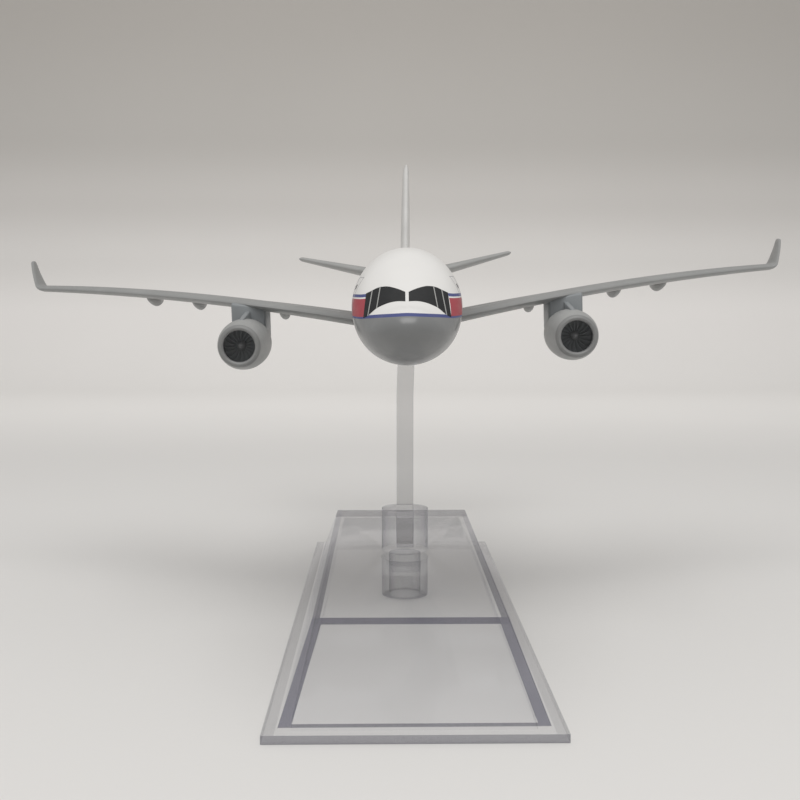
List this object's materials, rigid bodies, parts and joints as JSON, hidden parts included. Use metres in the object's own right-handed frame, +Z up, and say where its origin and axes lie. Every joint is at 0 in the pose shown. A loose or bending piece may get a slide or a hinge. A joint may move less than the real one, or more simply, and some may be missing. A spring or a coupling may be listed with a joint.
{
  "type": "desktop airliner model",
  "caption": "Desktop die-cast airliner model, wheels up, with blended wingtips, carried on the peg of a clear arm and a long hollow clear base.",
  "frame": {"origin": "on the table surface under the stand's arm", "axes": "+Z up, the aircraft's nose towards -Y and its tail towards +Y, +X towards its left wing"},
  "size_m": [0.159, 0.16, 0.0924],
  "materials": {
    "white_paint": "gloss",
    "grey_paint": "satin",
    "wing_grey_paint": "satin",
    "engine_paint": "satin",
    "dark_paint": "satin",
    "exhaust_paint": "satin",
    "bare_zinc": "as cast",
    "screw_steel": "plain",
    "black_plastic": "matte",
    "clear_plastic": "clear, polished"
  },
  "bodies": {
    "stand": {"stand_base": "clear_plastic"},
    "arm": {"stand_arm": "clear_plastic"},
    "bush": {"peg_bush": "black_plastic"},
    "aircraft": {"fuselage_upper": "white_paint", "fuselage_lower": "grey_paint", "belly_fairing": "grey_paint", "wing_carrier": "bare_zinc", "left_wing": "wing_grey_paint", "right_wing": "wing_grey_paint", "wing_screws": "screw_steel", "shell_screws": "screw_steel", "left_pylon": "wing_grey_paint", "right_pylon": "wing_grey_paint", "left_nacelle": "engine_paint", "right_nacelle": "engine_paint", "left_fan": "dark_paint", "right_fan": "dark_paint", "left_core": "exhaust_paint", "right_core": "exhaust_paint", "fin": "white_paint", "left_stabiliser": "wing_grey_paint", "right_stabiliser": "wing_grey_paint"}
  },
  "joints": [
    {"name": "arm_pull", "type": "slide", "parent": "stand", "child": "arm", "axis": [0, 0, 1], "range_m": [0, 0.0075]},
    {"name": "lift_off", "type": "slide", "parent": "arm", "child": "bush", "axis": [0, 0, 1], "range_m": [0, 0.006]},
    {"name": "turn_on_peg", "type": "hinge", "parent": "bush", "child": "aircraft", "pos_m": [0.0003, 0, 0.04795], "axis": [0, 0, 1], "continuous": true}
  ]
}
